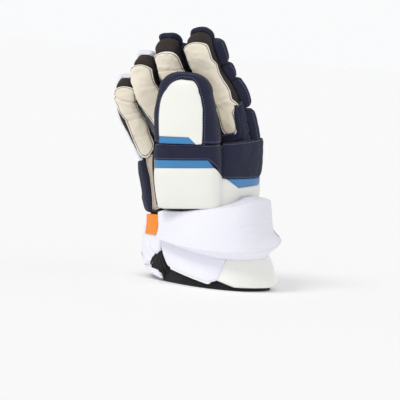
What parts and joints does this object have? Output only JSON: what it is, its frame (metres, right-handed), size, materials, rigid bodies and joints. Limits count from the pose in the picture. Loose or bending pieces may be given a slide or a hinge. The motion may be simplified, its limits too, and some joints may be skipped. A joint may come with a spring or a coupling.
{
  "type": "ice hockey glove",
  "caption": "Padded ice hockey glove for the right hand, standing on its flared cuff, with segmented finger pads, a padded thumb shell and a leather palm.",
  "frame": {"origin": "centre of the bounding box's underside, on the flat hem that the glove stands on", "axes": "+Z from the hem to the fingertips; -Y the way the thumb's shell faces; +X towards the back of the hand"},
  "size_m": [0.2277, 0.1867, 0.318],
  "materials": {
    "navy": "matt woven nylon",
    "brown": "matt knit and suede",
    "cream": "soft matt hide",
    "taupe": "soft matt hide",
    "white_vinyl": "smooth satin synthetic leather",
    "white_gloss": "glossy coated film",
    "white_mesh": "fine open knit",
    "blue": "satin synthetic leather",
    "black_mesh": "matt knit lining",
    "orange": "satin woven label"
  },
  "bodies": {
    "root": {"cuff_liner": "black_mesh", "liner": "black_mesh", "knuckle_liner": "black_mesh", "thumb_stall": "brown", "index_stall": "brown", "index_leather": "cream", "index_roll_1": "navy", "index_roll_2": "navy", "index_roll_3": "navy", "index_roll_4": "navy", "index_cap": "navy", "middle_stall": "brown", "middle_leather": "cream", "middle_roll_1": "navy", "middle_roll_2": "navy", "middle_roll_3": "navy", "middle_roll_4": "navy", "middle_cap": "navy", "ring_stall": "brown", "ring_leather": "cream", "ring_roll_1": "white_mesh", "ring_roll_2": "white_mesh", "ring_roll_3": "white_mesh", "ring_roll_4": "white_mesh", "ring_cap": "white_mesh", "little_stall": "brown", "little_leather": "cream", "little_roll_1": "white_mesh", "little_roll_2": "white_mesh", "little_roll_3": "white_mesh", "little_roll_4": "white_mesh", "little_cap": "white_mesh", "thumb_leather": "cream", "thumb_shell": "navy", "thumb_shell_stripe": "blue", "thumb_shell_panel": "white_vinyl", "thumb_base_band": "navy", "thumb_base_stripe": "blue", "thumb_base_panel": "white_vinyl", "side_panel": "navy", "side_stripe": "blue", "side_guard": "white_vinyl", "index_side_pad": "navy", "palm_leather": "taupe", "heel_patch": "brown", "ulnar_panel": "navy", "back_roll_1": "white_mesh", "back_roll_2": "navy", "back_roll_3": "navy", "cuff_roll": "white_mesh", "cuff_panel": "white_mesh", "cuff_back_panel": "white_gloss", "cuff_flap": "white_mesh", "label_tab": "orange"}
  },
  "joints": []
}
